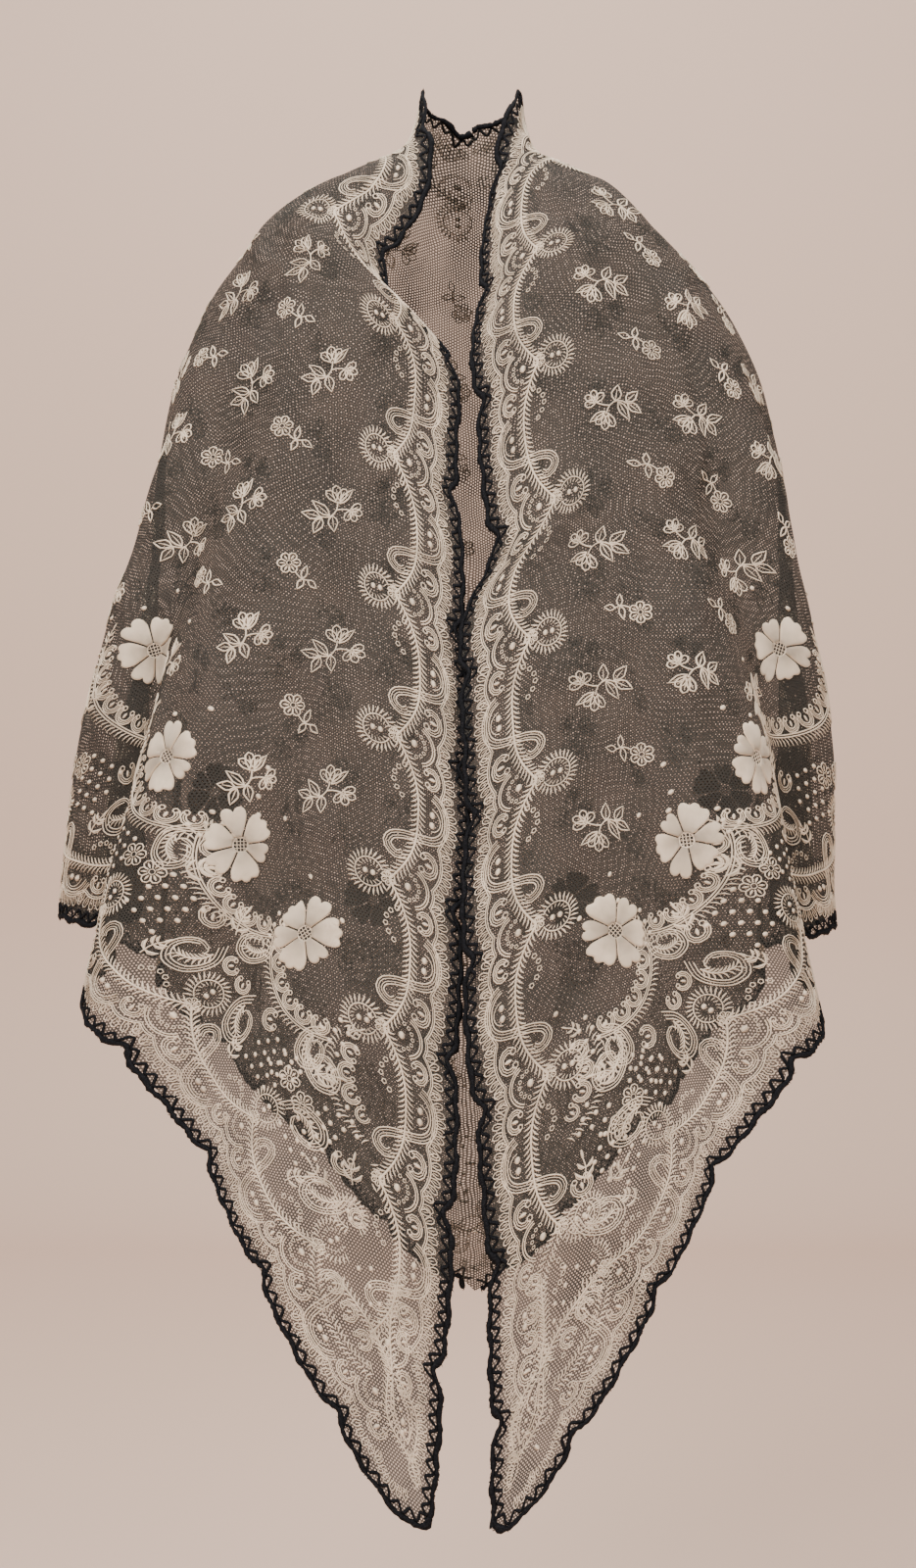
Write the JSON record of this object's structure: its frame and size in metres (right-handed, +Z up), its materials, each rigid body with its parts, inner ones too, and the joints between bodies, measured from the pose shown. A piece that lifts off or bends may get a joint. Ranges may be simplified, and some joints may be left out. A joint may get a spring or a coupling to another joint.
{
  "type": "shawl",
  "caption": "Triangular black net shawl with cream embroidery, raised cream flowers and a black scalloped edging, draped round the neck and open in front.",
  "frame": {"origin": "middle of the neck, level with the tops of the shoulders, where the wearer carries the shawl", "axes": "+Z up, the two front points face -Y, the wearer's left side is at +X"},
  "size_m": [0.7428, 0.6822, 1.2863],
  "materials": {
    "net": "matt",
    "edging": "matt",
    "flower": "satin"
  },
  "bodies": {
    "root": {"net_panel": "net", "edging": "edging", "flower_left_1": "flower", "flower_left_2": "flower", "flower_left_3": "flower", "flower_left_4": "flower", "flower_left_5": "flower", "flower_left_6": "flower", "flower_right_1": "flower", "flower_right_2": "flower", "flower_right_3": "flower", "flower_right_4": "flower", "flower_right_5": "flower", "flower_right_6": "flower"}
  },
  "joints": []
}
